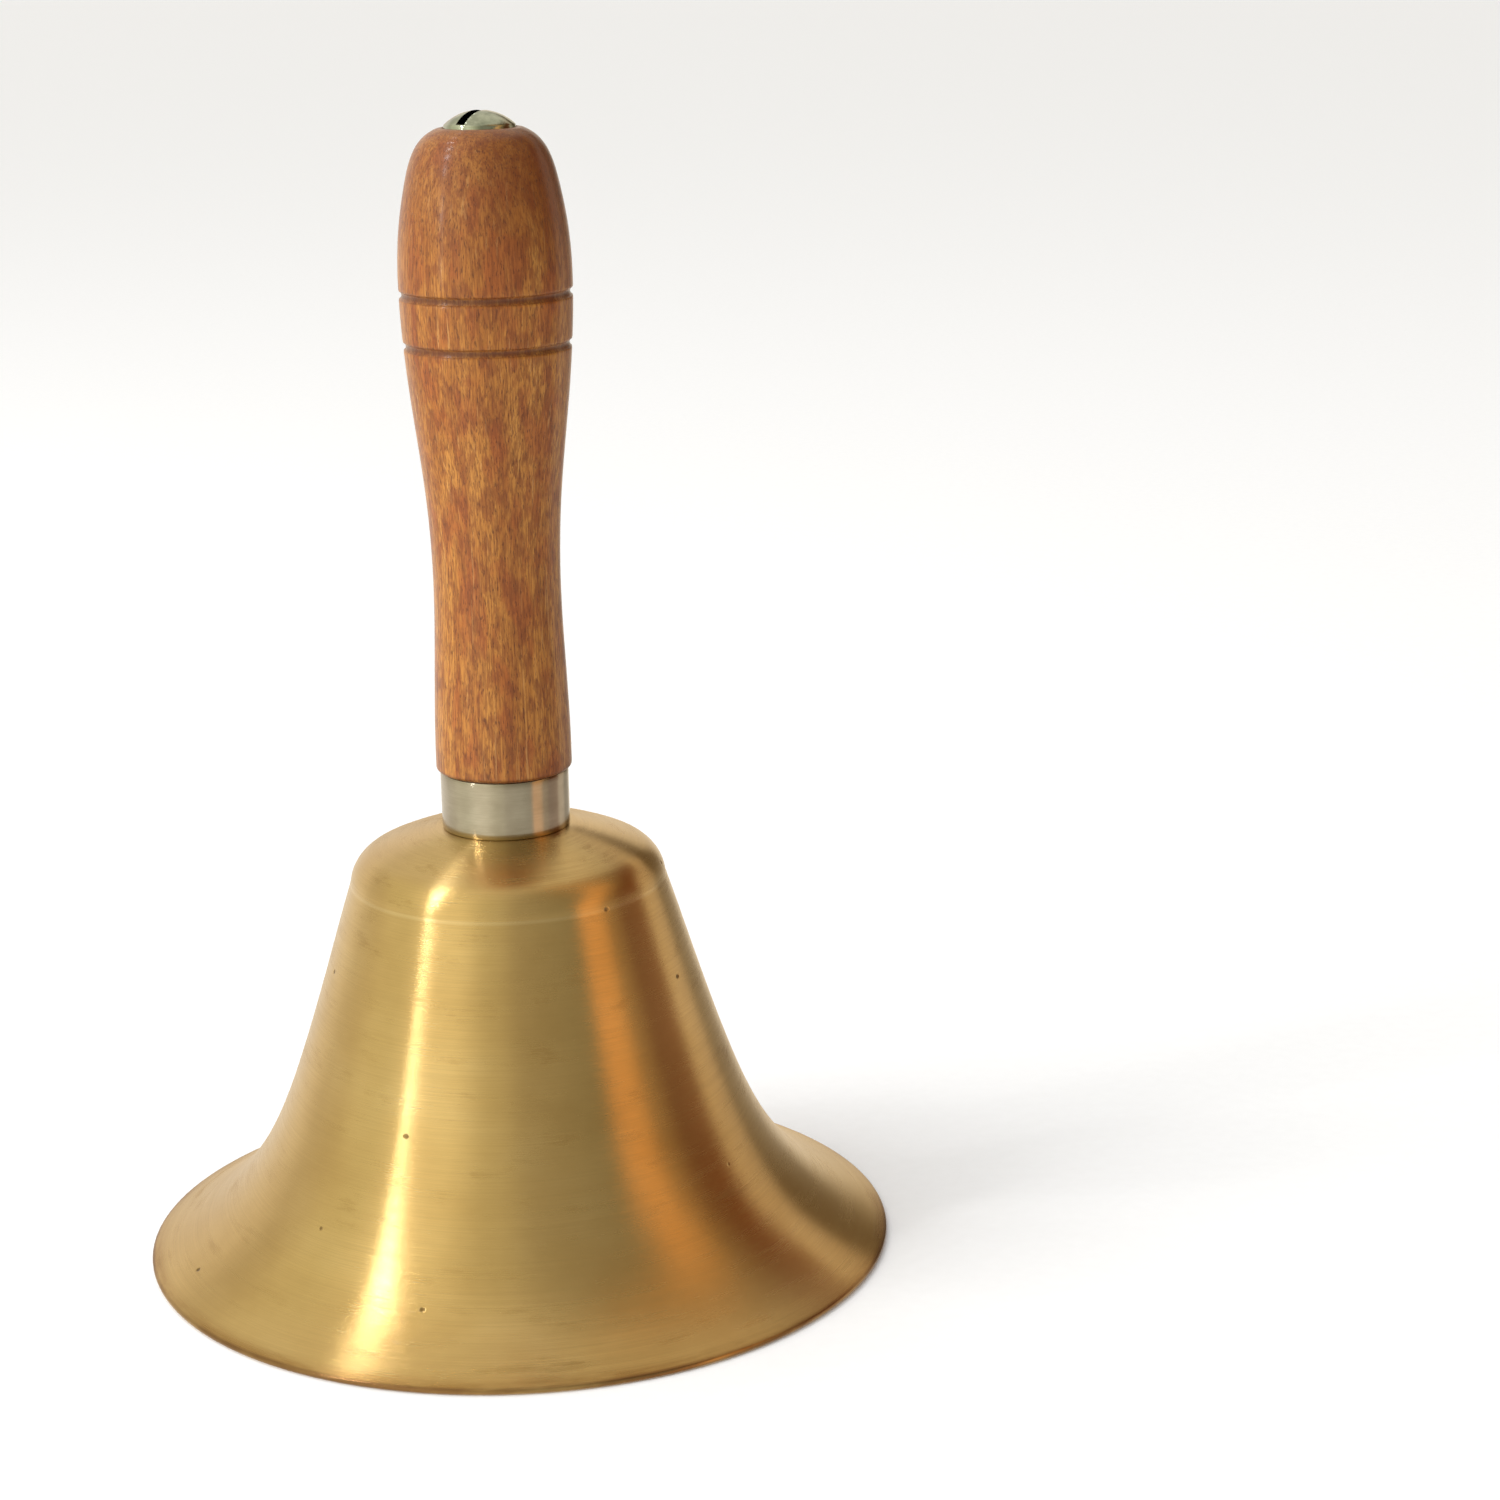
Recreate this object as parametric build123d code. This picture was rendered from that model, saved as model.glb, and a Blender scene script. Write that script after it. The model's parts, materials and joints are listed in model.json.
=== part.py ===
from build123d import *
import os
from math import acos, atan2, cos, exp, hypot, pi, radians, sin, sqrt

# A small brass hand bell on a turned wooden handle, with a clapper hung from a wire chain.
# Millimetres. The origin is the centre of the rim plane, on which the bell stands, and +Z
# runs up the axis of the handle.

# Bell: a cone that flares out to the rim, with a crease above it where the steeper shoulder starts,
# which bends in to a low dome
rim_radius = 40.0
lip_height = 0.6
lip_land_outer_radius = 39.6
lip_land_inner_radius = 38.4
lip_band_height = 2.6
lip_band_rise = 0.25
flare_height = 5.55
wall_slope = 0.307
wall_thickness = 1.0
shoulder_radius = 16.74
shoulder_height = 40.88
shoulder_bend = 4.22
shoulder_tilt = radians(6.0)
dome_start_angle = radians(66.0)
seat_radius = 7.1
crown_hole_radius = 2.0

# Ferrule and handle
ferrule_radius = 6.75
ferrule_wall = 0.6
ferrule_height = 6.25
ferrule_edge_chamfer = 0.15
tenon_clearance = 0.03
handle_foot_radius = 7.15
handle_foot_round = 0.5
handle_outline = [
    (6.95, 62.0),
    (6.62, 72.0),
    (7.0, 82.0),
    (8.1, 92.0),
    (8.8, 101.0),
    (8.7, 108.0),
    (7.75, 114.0),
    (6.2, 117.9),
]
handle_top_radius = 4.2
handle_height = 119.3
handle_bore_radius = 1.8
grooves = [(8.62, 97.6), (8.83, 102.8)]
groove_tool_radius = 0.5
groove_depth = 0.28

# Cap nut: a slotted domed head on a sleeve that takes the threaded end of the rod
cap_radius = 3.65
cap_seat_height = 118.6
cap_edge_height = 0.95
cap_top_height = 121.0
cap_clearance = 0.12
sleeve_radius = 2.4
sleeve_length = 8.7
sleeve_end_gap = 1.0
thread_clearance = 0.03
slot_width = 1.0
slot_floor_height = 119.75
slot_angle = 60.0

# Washer under the crown
washer_radius = 12.8
washer_thickness = 0.8
washer_hole_radius = 2.6
washer_clearance = 0.05
washer_edge_chamfer = 0.1

# Eye bolt: one rod, bent into an oval eye at its lower end
rod_radius = 1.45
rod_top_height = 117.3
nut_bore_top_height = 118.0
eye_wire_radius = 1.5
eye_bend = 3.2
eye_half_straight = 0.8

# Chain: two links of thin wire, each bent from one length and left open at its cut ends
wire_radius = 0.5
wire_play = 0.1
upper_link_length = 10.0
upper_link_top_bend = 2.2
upper_link_foot_bend = 1.5
upper_link_hook_angle = radians(284.0)
upper_link_tail = 2.6
lower_link_length = 8.6
lower_link_top_bend = 2.2
lower_link_foot_bend = 1.2
lower_link_half_bar = 3.1
lower_link_curl_angle = radians(112.0)
lower_link_tail = 0.6

# Clapper: a shank, cross-drilled for the lower link, and a ball with a flat end
shank_radius = 2.9
shank_crown_round = 2.2
shank_head = 2.2
cross_hole_radius = 1.2
ball_radius = 5.8
ball_flat_radius = 3.4
ball_floor_gap = 1.5
neck_fillet = 0.8


def wall_flare(height):
    """How far the flare stands out from the cone at a height."""
    full_flare = rim_radius - shoulder_radius - wall_slope * (shoulder_height - lip_height)
    return full_flare * exp(-(height - lip_height) / flare_height)


def wall_lean(height):
    """How fast the wall's radius falls with height."""
    return wall_slope + wall_flare(height) / flare_height


def wall_point(height, depth):
    """Point (radius, height) of the bell's wall, set in by depth from its outside at a height."""
    radius = shoulder_radius + wall_slope * (shoulder_height - height) + wall_flare(height)
    lean = wall_lean(height)
    length = hypot(1.0, lean)
    return (radius - depth / length, height - depth * lean / length)


# Heights that follow from the sizes above
shoulder_edge = wall_point(shoulder_height, 0.0)
shoulder_centre = (
    shoulder_edge[0] - shoulder_bend * cos(shoulder_tilt),
    shoulder_edge[1] - shoulder_bend * sin(shoulder_tilt),
)
dome_radius = shoulder_bend + shoulder_centre[0] / cos(dome_start_angle)
dome_centre_height = shoulder_centre[1] - shoulder_centre[0] * sin(dome_start_angle) / cos(dome_start_angle)
seat_height = dome_centre_height + sqrt(dome_radius**2 - seat_radius**2)
ferrule_top = seat_height + ferrule_height
inner_bend = shoulder_bend - wall_thickness
washer_contact = sqrt(inner_bend**2 - (washer_radius - shoulder_centre[0]) ** 2)
washer_foot = shoulder_centre[1] + washer_contact - washer_clearance - washer_thickness
eye_outer = eye_bend + eye_wire_radius
eye_height = washer_foot - sqrt(eye_outer**2 - (washer_hole_radius - eye_half_straight) ** 2)
eye_pivot_height = eye_height - eye_bend
upper_link_top = eye_pivot_height + eye_wire_radius + wire_radius + wire_play
link_pivot_height = upper_link_top - upper_link_length
lower_link_top = link_pivot_height + 2 * wire_radius + wire_play
clapper_pivot_height = lower_link_top - lower_link_length


def turned(edges, cuts=()):
    """Solid of revolution about Z of the face inside these XZ edges, less round cuts (centre, radius)."""
    face = Face(Wire(edges))
    for centre, radius in cuts:
        face -= Plane.XZ * Pos(*centre) * Circle(radius)
    return revolve(face, Axis.Z)


def polyline(points):
    """Straight edges through a list of (radius, height) points."""
    ends = [Vector(r, 0, z) for r, z in points]
    return [Edge.make_line(a, b) for a, b in zip(ends, ends[1:])]


def round_point(centre, radius, angle):
    return (centre[0] + radius * cos(angle), centre[1] + radius * sin(angle))


def arc(centre, radius, start_angle, end_angle):
    """Arc in the XZ plane about centre, between two angles measured from +X towards +Z."""
    angles = [start_angle, (start_angle + end_angle) / 2, end_angle]
    points = [round_point(centre, radius, angle) for angle in angles]
    return Edge.make_three_point_arc(*[Vector(x, 0, z) for x, z in points])


def tangent_angle(centre_a, radius_a, centre_b, radius_b):
    """Angle of the outward normal of the outer tangent from circle a to circle b, anticlockwise."""
    across, up = centre_b[0] - centre_a[0], centre_b[1] - centre_a[1]
    return atan2(up, across) - acos((radius_a - radius_b) / hypot(across, up))


def bent_wire(edges, radius):
    """Round wire of this radius along a path of tangent edges."""
    path = Wire(edges)
    section = Plane(path.position_at(0), z_dir=path.tangent_at(0)) * Circle(radius)
    return sweep(section, path=path)


def wall_spline(heights, depth):
    points = [wall_point(height, depth) for height in heights]
    return Edge.make_spline([Vector(r, 0, z) for r, z in points])


def make_bell_body():
    """Spun shell, open below, with a flat land at the rim and a turned band just inside it."""
    outer_wall = wall_spline([lip_height, 2.0, 4.0, 6.5, 10.0, 15.0, 22.0, 31.0, shoulder_height], 0.0)
    inner_heights = [shoulder_height, 31.0, 22.0, 15.0, 10.0, 6.5, 4.0, lip_band_height]
    inner_wall = wall_spline(inner_heights, wall_thickness)
    outer_shoulder = arc(shoulder_centre, shoulder_bend, shoulder_tilt, dome_start_angle)
    inner_shoulder = arc(shoulder_centre, inner_bend, dome_start_angle, shoulder_tilt)
    inner_wall_top = wall_point(shoulder_height, wall_thickness)
    inner_crease = polyline([round_point(shoulder_centre, inner_bend, shoulder_tilt), inner_wall_top])
    dome_centre = (0.0, dome_centre_height)
    inner_dome_radius = dome_radius - wall_thickness
    inner_seat_height = seat_height - wall_thickness
    inner_seat_radius = sqrt(inner_dome_radius**2 - (inner_seat_height - dome_centre_height) ** 2)
    outer_dome = arc(dome_centre, dome_radius, dome_start_angle, acos(seat_radius / dome_radius))
    inner_seat_angle = acos(inner_seat_radius / inner_dome_radius)
    inner_dome = arc(dome_centre, inner_dome_radius, inner_seat_angle, dome_start_angle)
    seat = polyline([
        (seat_radius, seat_height),
        (crown_hole_radius, seat_height),
        (crown_hole_radius, inner_seat_height),
        (inner_seat_radius, inner_seat_height),
    ])
    band_radius, band_height = wall_point(lip_band_height, wall_thickness)
    lip = polyline([
        (band_radius, band_height),
        (band_radius, band_height - lip_band_rise),
        (lip_land_inner_radius, 0.0),
        (lip_land_outer_radius, 0.0),
    ])
    edge_radius, edge_height = wall_point(lip_height, 0.0)
    lip_round = Edge.make_three_point_arc(
        Vector(lip_land_outer_radius, 0, 0),
        Vector(rim_radius, 0, edge_height / 2),
        Vector(edge_radius, 0, edge_height),
    )
    outside = [lip_round, outer_wall, outer_shoulder, outer_dome]
    inside = [inner_dome, inner_shoulder, *inner_crease, inner_wall]
    return turned([*outside, *seat, *inside, *lip])


def make_ferrule():
    """Plain metal tube that stands on the crown and grips the foot of the handle."""
    inner_radius = ferrule_radius - ferrule_wall
    tube = Cylinder(ferrule_radius, ferrule_height) - Cylinder(inner_radius, ferrule_height)
    outer_edges = tube.edges().filter_by(GeomType.CIRCLE).filter_by(lambda e: e.radius > inner_radius + 0.1)
    return Pos(0, 0, seat_height + ferrule_height / 2) * chamfer(outer_edges, ferrule_edge_chamfer)


def make_handle():
    """Turned wood: a tenon for the ferrule, a waisted grip with two grooves, bored right through."""
    tenon_radius = ferrule_radius - ferrule_wall - tenon_clearance
    foot_height = ferrule_top + handle_foot_round
    foot_face_radius = handle_foot_radius - handle_foot_round
    counterbore_radius = cap_radius + cap_clearance
    sleeve_bore_radius = sleeve_radius + cap_clearance
    sleeve_bore_floor = cap_seat_height - sleeve_length - sleeve_end_gap
    grip_points = [(handle_foot_radius, foot_height), *handle_outline, (handle_top_radius, handle_height)]
    grip = Edge.make_spline([Vector(r, 0, z) for r, z in grip_points])
    foot = arc((foot_face_radius, foot_height), handle_foot_round, -pi / 2, 0.0)
    bores_and_tenon = polyline([
        (handle_top_radius, handle_height),
        (counterbore_radius, handle_height),
        (counterbore_radius, cap_seat_height),
        (sleeve_bore_radius, cap_seat_height),
        (sleeve_bore_radius, sleeve_bore_floor),
        (handle_bore_radius, sleeve_bore_floor),
        (handle_bore_radius, seat_height),
        (tenon_radius, seat_height),
        (tenon_radius, ferrule_top),
        (foot_face_radius, ferrule_top),
    ])
    tool_offset = groove_tool_radius - groove_depth
    groove_cuts = [((radius + tool_offset, height), groove_tool_radius) for radius, height in grooves]
    return turned([foot, grip, *bores_and_tenon], groove_cuts)


def make_cap_nut():
    """Domed head with a driver slot, and the threaded sleeve below it as a plain bore."""
    edge_height = cap_seat_height + cap_edge_height
    rise = cap_top_height - edge_height
    head_radius = (cap_radius**2 + rise**2) / (2 * rise)
    head = arc((0.0, cap_top_height - head_radius), head_radius, acos(cap_radius / head_radius), pi / 2)
    bore_radius = rod_radius + thread_clearance
    sleeve_foot = cap_seat_height - sleeve_length
    outline = polyline([
        (0.0, cap_top_height),
        (0.0, nut_bore_top_height),
        (bore_radius, nut_bore_top_height),
        (bore_radius, sleeve_foot),
        (sleeve_radius, sleeve_foot),
        (sleeve_radius, cap_seat_height),
        (cap_radius, cap_seat_height),
        (cap_radius, edge_height),
    ])
    slot_depth = 2 * (cap_top_height - slot_floor_height)
    slot = Box(3 * cap_radius, slot_width, slot_depth)
    slot_place = Pos(0, 0, slot_floor_height + slot_depth / 2) * Rot(0, 0, slot_angle)
    return turned([*outline, head]) - slot_place * slot


def make_crown_washer():
    washer = Cylinder(washer_radius, washer_thickness) - Cylinder(washer_hole_radius, washer_thickness)
    washer = chamfer(washer.edges().filter_by(GeomType.CIRCLE), washer_edge_chamfer)
    return Pos(0, 0, washer_foot + washer_thickness / 2) * washer


def make_eye_bolt():
    """Oval eye in the XZ plane, drawn up against the washer, on a rod that runs to the cap nut."""
    left, right = (-eye_half_straight, eye_height), (eye_half_straight, eye_height)
    top, foot = eye_height + eye_bend, eye_height - eye_bend
    eye = bent_wire(
        [
            *polyline([(left[0], foot), (right[0], foot)]),
            arc(right, eye_bend, -pi / 2, pi / 2),
            *polyline([(right[0], top), (left[0], top)]),
            arc(left, eye_bend, pi / 2, 3 * pi / 2),
        ],
        eye_wire_radius,
    )
    rod_length = rod_top_height - top
    return eye + Pos(0, 0, top + rod_length / 2) * Cylinder(rod_radius, rod_length)


def make_upper_link():
    """Pear-shaped link in the YZ plane: its long leg ends in a tail below the hooked short leg."""
    foot, foot_bend = (0.0, link_pivot_height + upper_link_foot_bend), upper_link_foot_bend
    top, top_bend = (0.0, upper_link_top - upper_link_top_bend), upper_link_top_bend
    long_leg = tangent_angle(foot, foot_bend, top, top_bend)
    short_leg = tangent_angle(top, top_bend, foot, foot_bend) + 2 * pi
    leg_start = round_point(foot, foot_bend, long_leg)
    tail_end = round_point(leg_start, upper_link_tail, long_leg - pi / 2)
    link = bent_wire(
        [
            *polyline([tail_end, round_point(top, top_bend, long_leg)]),
            arc(top, top_bend, long_leg, short_leg),
            *polyline([round_point(top, top_bend, short_leg), round_point(foot, foot_bend, short_leg)]),
            arc(foot, foot_bend, short_leg, upper_link_hook_angle),
        ],
        wire_radius,
    )
    return Rot(0, 0, 90) * link


def make_lower_link():
    """D-shaped link in the XZ plane: a straight bar below, and a curl over the top with a gap."""
    top, top_bend = (0.0, lower_link_top - lower_link_top_bend), lower_link_top_bend
    foot_bend = lower_link_foot_bend
    left = (-lower_link_half_bar, clapper_pivot_height + foot_bend)
    right = (lower_link_half_bar, clapper_pivot_height + foot_bend)
    left_leg = tangent_angle(top, top_bend, left, foot_bend) + 2 * pi
    right_leg = tangent_angle(right, foot_bend, top, top_bend)
    tail_end = round_point(round_point(top, top_bend, left_leg), lower_link_tail, left_leg - pi / 2)
    return bent_wire(
        [
            *polyline([tail_end, round_point(left, foot_bend, left_leg)]),
            arc(left, foot_bend, left_leg, 3 * pi / 2),
            *polyline([(left[0], clapper_pivot_height), (right[0], clapper_pivot_height)]),
            arc(right, foot_bend, -pi / 2, right_leg),
            *polyline([round_point(right, foot_bend, right_leg), round_point(top, top_bend, right_leg)]),
            arc(top, top_bend, right_leg, lower_link_curl_angle),
        ],
        wire_radius,
    )


def make_clapper():
    """One turned piece: flat-ended ball, short neck fillet, shank with a rounded head."""
    ball_drop = sqrt(ball_radius**2 - ball_flat_radius**2)
    ball = (0.0, ball_floor_gap + ball_drop)
    neck_rise = sqrt((ball_radius + neck_fillet) ** 2 - (shank_radius + neck_fillet) ** 2)
    neck = (shank_radius + neck_fillet, ball[1] + neck_rise)
    neck_angle = atan2(neck_rise, neck[0])
    flat_edge = (ball_flat_radius, ball_floor_gap)
    head_top = clapper_pivot_height + shank_head
    head = (shank_radius - shank_crown_round, head_top - shank_crown_round)
    outline = [
        arc(ball, ball_radius, -acos(ball_flat_radius / ball_radius), neck_angle),
        arc(neck, neck_fillet, neck_angle + pi, pi),
        *polyline([(shank_radius, neck[1]), (shank_radius, head[1])]),
        arc(head, shank_crown_round, 0.0, pi / 2),
        *polyline([(head[0], head_top), (0.0, head_top), (0.0, ball_floor_gap), flat_edge]),
    ]
    hole_height = clapper_pivot_height + wire_radius + wire_play - cross_hole_radius
    cross_hole = Pos(0, 0, hole_height) * Rot(0, 90, 0) * Cylinder(cross_hole_radius, 4 * shank_radius)
    return turned(outline) - cross_hole


nodes = {
    "bell_body": make_bell_body(),
    "ferrule": make_ferrule(),
    "handle": make_handle(),
    "cap_nut": make_cap_nut(),
    "crown_washer": make_crown_washer(),
    "eye_bolt": make_eye_bolt(),
    "upper_link": make_upper_link(),
    "lower_link": make_lower_link(),
    "clapper": make_clapper(),
}

os.makedirs("parts", exist_ok=True)
for name, solid in nodes.items():
    export_step(solid, f"parts/{name}.step")

print("eye pivot", round(eye_pivot_height, 3))
print("link pivot", round(link_pivot_height, 3))
print("clapper pivot", round(clapper_pivot_height, 3))
print("washer foot", round(washer_foot, 3))
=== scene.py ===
"""Looks of a brass hand bell with a turned wooden handle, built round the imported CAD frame."""
import json
import math

import bmesh
import bpy
import numpy as np
from mathutils import Matrix, Vector


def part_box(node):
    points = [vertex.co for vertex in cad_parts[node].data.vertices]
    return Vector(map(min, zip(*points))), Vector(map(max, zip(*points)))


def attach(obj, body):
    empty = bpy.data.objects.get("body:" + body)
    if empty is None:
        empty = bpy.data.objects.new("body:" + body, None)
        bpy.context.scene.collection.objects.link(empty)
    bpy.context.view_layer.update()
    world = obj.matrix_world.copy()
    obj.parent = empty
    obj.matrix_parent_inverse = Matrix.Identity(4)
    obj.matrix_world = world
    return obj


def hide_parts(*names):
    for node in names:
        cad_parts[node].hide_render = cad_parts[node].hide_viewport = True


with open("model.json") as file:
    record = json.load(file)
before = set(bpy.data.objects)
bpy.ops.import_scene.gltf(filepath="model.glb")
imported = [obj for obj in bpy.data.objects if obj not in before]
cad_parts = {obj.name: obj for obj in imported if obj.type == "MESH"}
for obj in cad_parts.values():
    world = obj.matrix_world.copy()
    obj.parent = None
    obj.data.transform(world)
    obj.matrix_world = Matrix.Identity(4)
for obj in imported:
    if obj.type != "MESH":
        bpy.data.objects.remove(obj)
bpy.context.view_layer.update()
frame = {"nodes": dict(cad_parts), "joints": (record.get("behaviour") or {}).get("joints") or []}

MM = 0.001

# Camera and lights, in metres and degrees
CAMERA_PLACE = (0.02598, -0.32029, 0.14053)
CAMERA_PITCH = 15.09
CAMERA_ROLL = 1.02
CAMERA_LENS_MM = 75.42
SENSOR_MM = 36.0
CAMERA_CLIP_START = 0.01
LIGHT_AIM = (0.0, 0.0, 0.05)
FLOOR_REACH = 6.0
FLOOR_CELLS = 12

# Surroundings: (degrees round from the camera's side, tone), as the metal mirrors them
SURROUND_BANDS = (
    (-180.0, (0.70, 0.61, 0.49)),
    (-150.0, (0.71, 0.65, 0.58)),
    (-130.0, (0.70, 0.65, 0.57)),
    (-115.0, (0.56, 0.52, 0.43)),
    (-100.0, (0.57, 0.53, 0.41)),
    (-88.0, (0.65, 0.62, 0.47)),
    (-70.0, (0.67, 0.65, 0.49)),
    (-48.0, (0.92, 0.88, 0.70)),
    (-30.0, (0.90, 0.86, 0.68)),
    (-13.0, (0.56, 0.53, 0.39)),
    (-2.0, (0.50, 0.47, 0.35)),
    (6.0, (0.37, 0.34, 0.26)),
    (40.0, (0.26, 0.24, 0.18)),
    (53.0, (0.22, 0.20, 0.15)),
    (55.0, (0.80, 0.42, 0.18)),
    (72.0, (0.66, 0.36, 0.15)),
    (76.0, (0.27, 0.18, 0.10)),
    (86.0, (0.23, 0.14, 0.07)),
    (89.0, (0.13, 0.045, 0.018)),
    (112.0, (0.19, 0.075, 0.032)),
    (117.0, (0.54, 0.43, 0.32)),
    (132.0, (0.46, 0.36, 0.27)),
    (139.0, (0.13, 0.09, 0.05)),
    (157.0, (0.14, 0.10, 0.06)),
    (167.0, (0.60, 0.53, 0.43)),
    (180.0, (0.74, 0.66, 0.54)),
)
SURROUND_STRENGTH = 1.25

# How the bands change with height. Ranges are of the direction's upward part, from -1 to 1, or of its
# part to the right.
BAND_SPREAD_RANGE = (0.3, 0.65)
BAND_SPREAD = 0.3
SHADE_TONE = (0.22, 0.17, 0.10)
SHADE_SHARE = 0.5
SHADE_RISE_RANGE = (0.54, 0.80)
SHADE_SIDE_RANGE = (0.1, 0.5)
OVERHEAD_TONE = (0.64, 0.60, 0.50)
OVERHEAD_RANGE = (0.88, 1.0)
OVERHEAD_BACKWARD = 0.6
OVERHEAD_SIDEWAYS = -0.3
UNDERFOOT_TONE = (0.95, 0.90, 0.78)
UNDERFOOT_RANGE = (0.1, -0.25)
UNDERFOOT_SHARE = 0.3

# Light on matt surfaces, and how much it falls off to the right, and the backdrop that shows
MATT_LIGHT = 0.95
MATT_FALL_OFF = 1.0
BACKDROP_LEVEL = 1.0

# Key lamps: (lean back and compass angle of the mirroring surface, width in metres, power in watts)
STREAK_LAMPS = (
    (9.0, -28.0, 0.012, 0.06),
    (17.0, -27.6, 0.012, 0.12),
    (25.0, -27.2, 0.016, 0.18),
    (33.0, -26.6, 0.026, 0.34),
    (41.0, -26.6, 0.022, 0.32),
    (49.0, -27.6, 0.012, 0.15),
    (57.0, -28.0, 0.012, 0.04),
    (65.0, -28.0, 0.012, 0.015),
    (73.0, -28.0, 0.012, 0.012),
)
STREAK_LAMP_DISTANCE = 0.85
STREAK_LAMP_HEIGHT = 0.10

# Soft lamp on the left, which the metal doesn't mirror
FILL_AZIMUTH = -70.0
FILL_ELEVATION = 28.0
FILL_DISTANCE = 0.9
FILL_SIZE = (0.5, 0.5)
FILL_POWER = 3.2

# Turned surfaces
TURNED_STEPS = 288
SMALL_TURNED_STEPS = 96
CORNER_ANGLE = math.radians(14.0)
FINEST_RUN = 0.5 * MM
SAME_PLACE = 1e-7
WELD_REACH = 1e-8
NO_LENGTH = 1e-12
ON_AXIS = 1e-6
CUT_SHARE = 0.4
RIM_LAND_TOP = 0.2 * MM

# Softened edges
SHELL_EDGE = 0.12 * MM
HANDLE_EDGE = 0.2 * MM
WASHER_EDGE = 0.08 * MM
CAP_EDGE = 0.1 * MM
SLOT_EDGE = 0.06 * MM
HOLE_EDGE = 0.12 * MM
ROD_EDGE = 0.1 * MM
WIRE_EDGE = 0.08 * MM
BALL_FLAT_EDGE = 0.15 * MM
BALL_FLAT_TURN = 0.05
WIRE_SHARP_ANGLE = math.radians(50.0)
CUT_SHARP_ANGLE = math.radians(35.0)
CUT_BEVEL_ANGLE = math.radians(40.0)

# Wire and clapper sizes that the frame's boxes don't give
LINK_WIRE = 0.5 * MM
EYE_WIRE = 1.5 * MM
EYE_ROD = 1.45 * MM
EYE_BEND = 3.2 * MM
LINK_PLAY = 0.1 * MM
UPPER_TOP_BEND = 2.2 * MM
UPPER_FOOT_BEND = 1.5 * MM
UPPER_HOOK_ANGLE = math.radians(284.0)
UPPER_TAIL = 2.6 * MM
LOWER_TOP_BEND = 2.2 * MM
LOWER_FOOT_BEND = 1.2 * MM
LOWER_CURL_ANGLE = math.radians(112.0)
LOWER_TAIL = 0.6 * MM
SHANK_RADIUS = 2.9 * MM
SHANK_ROUND = 2.2 * MM
BALL_FLAT_RADIUS = 3.4 * MM
NECK_FILLET = 0.8 * MM
CROSS_HOLE_RADIUS = 1.2 * MM
CAP_SLOT_WIDTH = 1.0 * MM
CAP_SLOT_DEPTH = 1.25 * MM
CAP_SLOT_ANGLE = math.radians(60.0)
CAP_SLOT_LENGTH = 30.0 * MM
CAP_SLOT_CLEAR = 1.0 * MM
DRILL_REACH = 6.0 * MM

# Places of marks, painted shade and a painted highlight in the materials, in millimetres
GROOVE_HEIGHTS = (97.6, 102.8)
GROOVE_DARK_REACH = 0.62
# Heights over which the handle's top gets painted shade
SHADED_TOP_RANGE = (100.0, 116.0)
# Heights of the painted shadow line at the handle's foot
HANDLE_FOOT_SHADE_RANGE = (52.9, 53.5)
# Height of the crease, and the band round it where the brass gets a painted highlight
CREASE_HEIGHT = 40.88
CREASE_HIGHLIGHT_RANGE = (0.05, 0.30)
OUTSIDE_RIM_RANGE = (38.2, 39.9)
OUTSIDE_EDGE_RANGE = (39.6, 39.95)
INSIDE_EDGE_RANGE = (38.6, 39.6)
INSIDE_SHADE_RANGE = (14.0, 40.0)
DISC_TINT_RANGE = (3.0, 8.5)
BALL_TOP_RISE = 11.0


# ---------------------------------------------------------------- shader graphs

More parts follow.
